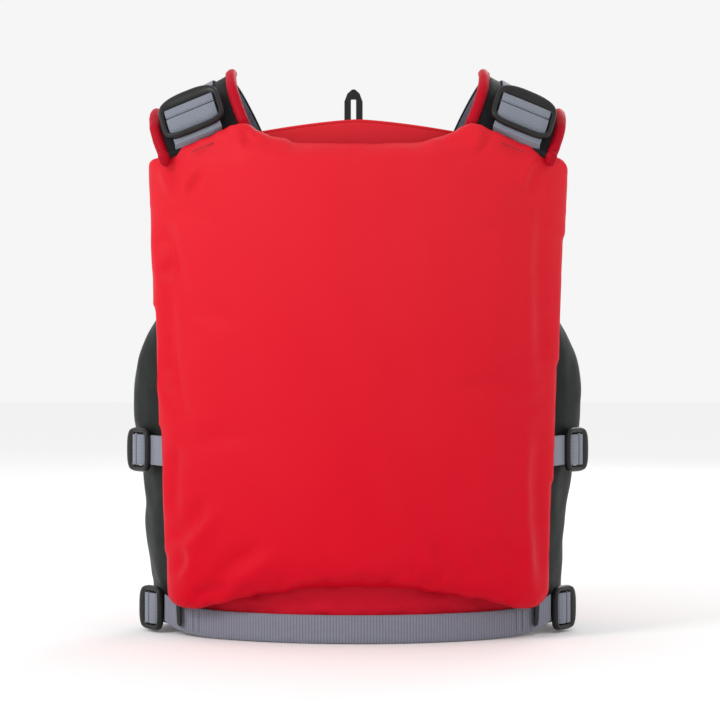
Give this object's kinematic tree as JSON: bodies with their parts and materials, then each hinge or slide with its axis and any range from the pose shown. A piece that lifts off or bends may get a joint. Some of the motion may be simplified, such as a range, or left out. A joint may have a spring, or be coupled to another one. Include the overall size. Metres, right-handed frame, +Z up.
{
  "type": "life jacket",
  "caption": "Adult foam life jacket with a buoyant back panel, zipped front panels, ladder-lock adjusters at shoulders and sides, and chest and waist buckles.",
  "frame": {"origin": "on the floor, under the middle of the standing jacket's box", "axes": "+Z up to the shoulders, +Y to the wearer's back, +X to the wearer's left"},
  "size_m": [0.4702, 0.292, 0.5716],
  "materials": {
    "red_nylon": "matte woven nylon",
    "red_skirt": "matte woven nylon",
    "red_binding": "matte bound edge",
    "grey_lining": "matte knitted lining",
    "foam": "closed-cell foam",
    "charcoal_fabric": "matte woven fabric",
    "black_fabric": "matte woven fabric",
    "black_webbing": "woven webbing",
    "grey_webbing": "ribbed woven webbing",
    "zip_tape": "woven tape",
    "zip_plastic": "moulded",
    "black_plastic": "moulded satin"
  },
  "bodies": {
    "back": {"back_shell": "red_nylon", "back_lining": "grey_lining", "back_foam": "foam", "back_skirt": "red_skirt", "neck_yoke": "red_nylon", "hang_loop": "black_webbing", "waist_belt_back": "grey_webbing", "shoulder_pad_left": "black_fabric", "shoulder_binding_left": "red_binding", "shoulder_anchor_web_left": "grey_webbing", "shoulder_strap_left": "grey_lining", "shoulder_web_left": "grey_webbing", "side_panel_left": "charcoal_fabric", "chest_anchor_web_left": "grey_webbing", "shoulder_pad_right": "black_fabric", "shoulder_binding_right": "red_binding", "shoulder_anchor_web_right": "grey_webbing", "shoulder_strap_right": "grey_lining", "shoulder_web_right": "grey_webbing", "side_panel_right": "charcoal_fabric", "chest_anchor_web_right": "grey_webbing"},
    "front_left": {"front_shell_left": "red_nylon", "front_lining_left": "grey_lining", "front_foam_left": "foam", "chest_strap_left": "grey_webbing", "waist_strap_left": "grey_webbing", "zip_tape_left": "zip_tape", "zip_teeth_left": "zip_plastic", "chest_buckle_socket": "black_plastic", "waist_buckle_socket": "black_plastic"},
    "front_right": {"front_shell_right": "red_nylon", "front_lining_right": "grey_lining", "front_foam_right": "foam", "chest_strap_right": "grey_webbing", "waist_strap_right": "grey_webbing", "zip_tape_right": "zip_tape", "zip_teeth_right": "zip_plastic"},
    "shoulder_lock_left": {"shoulder_ladderlock_left": "black_plastic", "shoulder_weave_left": "grey_webbing"},
    "chest_lock_left": {"chest_ladderlock_left": "black_plastic", "chest_weave_left": "grey_webbing"},
    "waist_lock_left": {"waist_ladderlock_left": "black_plastic", "waist_weave_left": "grey_webbing"},
    "shoulder_lock_right": {"shoulder_ladderlock_right": "black_plastic", "shoulder_weave_right": "grey_webbing"},
    "chest_lock_right": {"chest_ladderlock_right": "black_plastic", "chest_weave_right": "grey_webbing"},
    "waist_lock_right": {"waist_ladderlock_right": "black_plastic", "waist_weave_right": "grey_webbing"},
    "chest_plug": {"chest_buckle_plug": "black_plastic", "chest_strap_tail": "grey_webbing"},
    "chest_prong_upper": {"chest_prong_upper": "black_plastic"},
    "chest_prong_lower": {"chest_prong_lower": "black_plastic"},
    "waist_plug": {"waist_buckle_plug": "black_plastic", "waist_strap_tail": "grey_webbing"},
    "waist_prong_upper": {"waist_prong_upper": "black_plastic"},
    "waist_prong_lower": {"waist_prong_lower": "black_plastic"},
    "zip_slider": {"zip_slider": "zip_plastic"},
    "zip_pull": {"zip_pull": "zip_plastic"}
  },
  "joints": [
    {"name": "front_left_swing", "type": "hinge", "parent": "back", "child": "front_left", "pos_m": [0.218, -0.003, 0.185], "axis": [-0.0748, 0, 0.9972], "range_deg": [0, 60], "deforming": ["side_panel_left", "shoulder_strap_left", "shoulder_web_left"]},
    {"name": "front_right_swing", "type": "hinge", "parent": "back", "child": "front_right", "pos_m": [-0.218, -0.003, 0.185], "axis": [-0.0748, 0, -0.9972], "range_deg": [0, 60], "deforming": ["side_panel_right", "shoulder_strap_right", "shoulder_web_right"]},
    {"name": "shoulder_lock_left_tilt", "type": "hinge", "parent": "back", "child": "shoulder_lock_left", "pos_m": [0.15852, 0.10713, 0.50301], "axis": [-0.9256, 0.1058, 0.3635], "range_deg": [0, 35]},
    {"name": "shoulder_lock_right_tilt", "type": "hinge", "parent": "back", "child": "shoulder_lock_right", "pos_m": [-0.15852, 0.10713, 0.50301], "axis": [-0.9256, -0.1058, -0.3635], "range_deg": [0, 35]},
    {"name": "chest_lock_left_tilt", "type": "hinge", "parent": "back", "child": "chest_lock_left", "pos_m": [0.21203, 0.03723, 0.185], "axis": [0, 0, 1], "range_deg": [0, 35]},
    {"name": "chest_lock_right_tilt", "type": "hinge", "parent": "back", "child": "chest_lock_right", "pos_m": [-0.21203, 0.03723, 0.185], "axis": [0, 0, -1], "range_deg": [0, 35]},
    {"name": "waist_lock_left_tilt", "type": "hinge", "parent": "back", "child": "waist_lock_left", "pos_m": [0.19948, 0.03698, 0.024], "axis": [0, 0, 1], "range_deg": [0, 35]},
    {"name": "waist_lock_right_tilt", "type": "hinge", "parent": "back", "child": "waist_lock_right", "pos_m": [-0.19948, 0.03698, 0.024], "axis": [0, 0, -1], "range_deg": [0, 35]},
    {"name": "chest_plug_slide", "type": "slide", "parent": "front_right", "child": "chest_plug", "axis": [1, 0, 0], "range_m": [0, 0.038]},
    {"name": "chest_prong_upper_spring", "type": "hinge", "parent": "chest_plug", "child": "chest_prong_upper", "pos_m": [-0.0342, -0.1405, 0.1965], "axis": [0, -1, 0], "range_deg": [0, 5]},
    {"name": "chest_prong_lower_spring", "type": "hinge", "parent": "chest_plug", "child": "chest_prong_lower", "pos_m": [-0.0342, -0.1405, 0.1735], "axis": [0, -1, 0], "range_deg": [-5, 0]},
    {"name": "waist_plug_slide", "type": "slide", "parent": "front_right", "child": "waist_plug", "axis": [1, 0, 0], "range_m": [0, 0.038]},
    {"name": "waist_prong_upper_spring", "type": "hinge", "parent": "waist_plug", "child": "waist_prong_upper", "pos_m": [-0.0342, -0.1405, 0.0355], "axis": [0, -1, 0], "range_deg": [0, 5]},
    {"name": "waist_prong_lower_spring", "type": "hinge", "parent": "waist_plug", "child": "waist_prong_lower", "pos_m": [-0.0342, -0.1405, 0.0125], "axis": [0, -1, 0], "range_deg": [-5, 0]},
    {"name": "zip_slide", "type": "slide", "parent": "front_left", "child": "zip_slider", "axis": [0, 0, 1], "range_m": [0, 0.296]},
    {"name": "zip_pull_swing", "type": "hinge", "parent": "zip_slider", "child": "zip_pull", "pos_m": [0, -0.1263, 0.068], "axis": [-1, 0, 0], "range_deg": [0, 120]}
  ]
}
